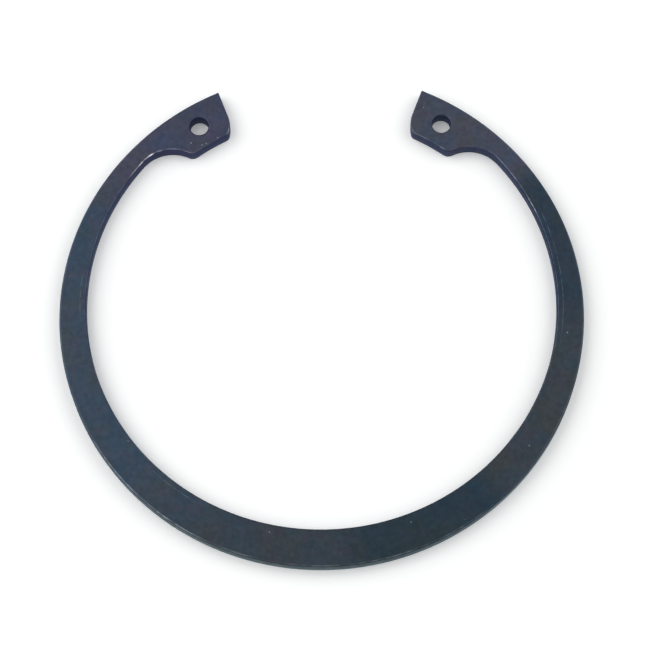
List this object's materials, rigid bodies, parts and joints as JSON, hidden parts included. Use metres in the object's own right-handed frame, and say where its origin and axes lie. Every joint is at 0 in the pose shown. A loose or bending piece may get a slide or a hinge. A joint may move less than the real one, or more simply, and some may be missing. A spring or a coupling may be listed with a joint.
{
  "type": "internal retaining ring",
  "caption": "Flat spring steel ring with a gap between drilled lugs, squeezed into a groove in a housing to hold a bearing or shaft in place.",
  "frame": {"origin": "on the axis of the round outer edge, in the lower face", "axes": "+Z along the ring's axis, away from the face that it lies on; +Y from the axis to the middle of the gap; +X to the right-hand lug seen from above"},
  "size_m": [0.084, 0.0805, 0.0024],
  "materials": {
    "blackened_steel": "satin blue-black oxide and oil, bright along the edges"
  },
  "bodies": {
    "root": {"retaining_ring": "blackened_steel"}
  },
  "joints": []
}
